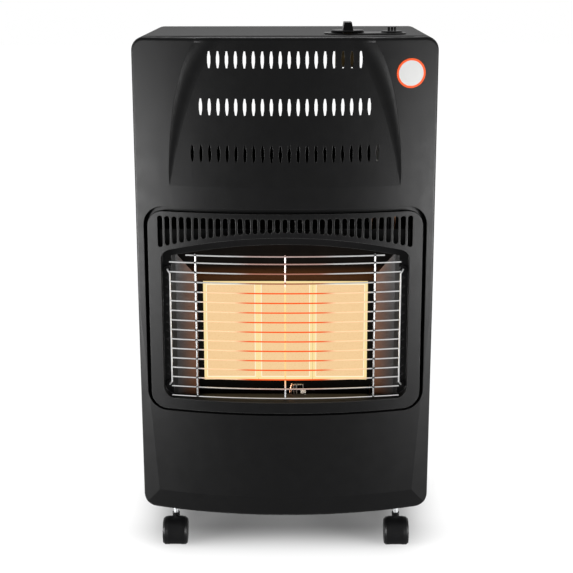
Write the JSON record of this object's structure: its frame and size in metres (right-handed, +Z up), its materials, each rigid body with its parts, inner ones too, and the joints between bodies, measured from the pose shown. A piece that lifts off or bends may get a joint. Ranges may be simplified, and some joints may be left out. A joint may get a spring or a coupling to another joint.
{
  "type": "portable gas cabinet heater",
  "caption": "Upright sheet-metal cabinet heater: a bowed slotted front, a radiant ceramic burner behind a wire guard, a knob and igniter on top, a bottle bay behind and swivel castors.",
  "frame": {"origin": "on the floor, under the middle of the outer box", "axes": "+Z up, the front faces -Y, +X is the viewer's right when facing the front"},
  "size_m": [0.42, 0.406, 0.7707],
  "materials": {
    "satin_black_paint": "satin, finely textured powder coat",
    "badge": "smooth white with an orange-red rim",
    "black_plastic": "satin moulded",
    "heat_dark_steel": "heat-resistant dark coat, semi-gloss",
    "aluminised_steel": "dull metallic",
    "galvanised_steel": "dull zinc",
    "plaque_ceramic": "matt, glowing peach when lit",
    "brass": "turned",
    "chrome_wire": "bright plated",
    "insulator_ceramic": "glazed white",
    "stainless": "plain",
    "copper_tube": "drawn",
    "lead_sleeve": "smooth silicone sleeve",
    "wheel_plastic": "satin moulded"
  },
  "bodies": {
    "cabinet": {"front_panel": "satin_black_paint", "round_badge": "badge", "casing": "satin_black_paint", "base_tray": "galvanised_steel", "tray_screws": "stainless", "burner_surround": "satin_black_paint", "hood": "heat_dark_steel", "reflector_left": "heat_dark_steel", "reflector_right": "heat_dark_steel", "lower_shelf": "heat_dark_steel", "burner_housing": "aluminised_steel", "ceramic_plaque_left": "plaque_ceramic", "ceramic_plaque_centre": "plaque_ceramic", "ceramic_plaque_right": "plaque_ceramic", "injector_manifold": "aluminised_steel", "injectors": "brass", "pilot_bracket": "stainless", "pilot_burner": "stainless", "thermocouple": "copper_tube", "electrode_ceramic": "insulator_ceramic", "spark_wire": "stainless", "wire_guard": "chrome_wire", "heat_shield": "galvanised_steel", "control_bezel": "black_plastic", "gas_valve": "brass", "hose_nozzle": "brass", "gas_pipe": "aluminised_steel", "pilot_pipe": "copper_tube", "thermocouple_lead": "copper_tube", "spark_lead": "lead_sleeve", "igniter_body": "black_plastic", "castor_sockets": "black_plastic"},
    "rear_cover": {"rear_cover": "satin_black_paint"},
    "plunger": {"valve_plunger": "brass"},
    "knob": {"valve_spindle": "brass", "control_knob": "black_plastic"},
    "button": {"igniter_button": "black_plastic"},
    "castor_front_left": {"castor_hood_front_left": "black_plastic", "castor_stem_front_left": "galvanised_steel"},
    "wheels_front_left": {"castor_wheels_front_left": "wheel_plastic"},
    "castor_front_right": {"castor_hood_front_right": "black_plastic", "castor_stem_front_right": "galvanised_steel"},
    "wheels_front_right": {"castor_wheels_front_right": "wheel_plastic"},
    "castor_rear_left": {"castor_hood_rear_left": "black_plastic", "castor_stem_rear_left": "galvanised_steel"},
    "wheels_rear_left": {"castor_wheels_rear_left": "wheel_plastic"},
    "castor_rear_right": {"castor_hood_rear_right": "black_plastic", "castor_stem_rear_right": "galvanised_steel"},
    "wheels_rear_right": {"castor_wheels_rear_right": "wheel_plastic"}
  },
  "joints": [
    {"name": "knob_press", "type": "slide", "parent": "cabinet", "child": "plunger", "axis": [0, 0, -1], "range_m": [0, 0.0025], "stiffness_N_per_m": 3000, "springref_m": -0.002},
    {"name": "knob_turn", "type": "hinge", "parent": "plunger", "child": "knob", "pos_m": [0.0875, -0.104, 0.76], "axis": [0, 0, 1], "range_deg": [0, 240]},
    {"name": "igniter_press", "type": "slide", "parent": "cabinet", "child": "button", "axis": [0, 0, -1], "range_m": [0, 0.005], "stiffness_N_per_m": 2000, "springref_m": -0.003},
    {"name": "cover_pull", "type": "slide", "parent": "cabinet", "child": "rear_cover", "axis": [0, 1, 0], "range_m": [0, 0.4]},
    {"name": "castor_swivel_front_left", "type": "hinge", "parent": "cabinet", "child": "castor_front_left", "pos_m": [-0.1657, -0.133, 0.05], "axis": [0, 0, 1], "continuous": true},
    {"name": "wheels_roll_front_left", "type": "hinge", "parent": "castor_front_left", "child": "wheels_front_left", "pos_m": [-0.1657, -0.146, 0.02], "axis": [1, 0, 0], "continuous": true},
    {"name": "castor_swivel_front_right", "type": "hinge", "parent": "cabinet", "child": "castor_front_right", "pos_m": [0.1657, -0.133, 0.05], "axis": [0, 0, 1], "continuous": true},
    {"name": "wheels_roll_front_right", "type": "hinge", "parent": "castor_front_right", "child": "wheels_front_right", "pos_m": [0.1657, -0.146, 0.02], "axis": [1, 0, 0], "continuous": true},
    {"name": "castor_swivel_rear_left", "type": "hinge", "parent": "cabinet", "child": "castor_rear_left", "pos_m": [-0.1657, 0.094, 0.05], "axis": [0, 0, 1], "continuous": true},
    {"name": "wheels_roll_rear_left", "type": "hinge", "parent": "castor_rear_left", "child": "wheels_rear_left", "pos_m": [-0.1657, 0.081, 0.02], "axis": [1, 0, 0], "continuous": true},
    {"name": "castor_swivel_rear_right", "type": "hinge", "parent": "cabinet", "child": "castor_rear_right", "pos_m": [0.1657, 0.094, 0.05], "axis": [0, 0, 1], "continuous": true},
    {"name": "wheels_roll_rear_right", "type": "hinge", "parent": "castor_rear_right", "child": "wheels_rear_right", "pos_m": [0.1657, 0.081, 0.02], "axis": [1, 0, 0], "continuous": true}
  ]
}
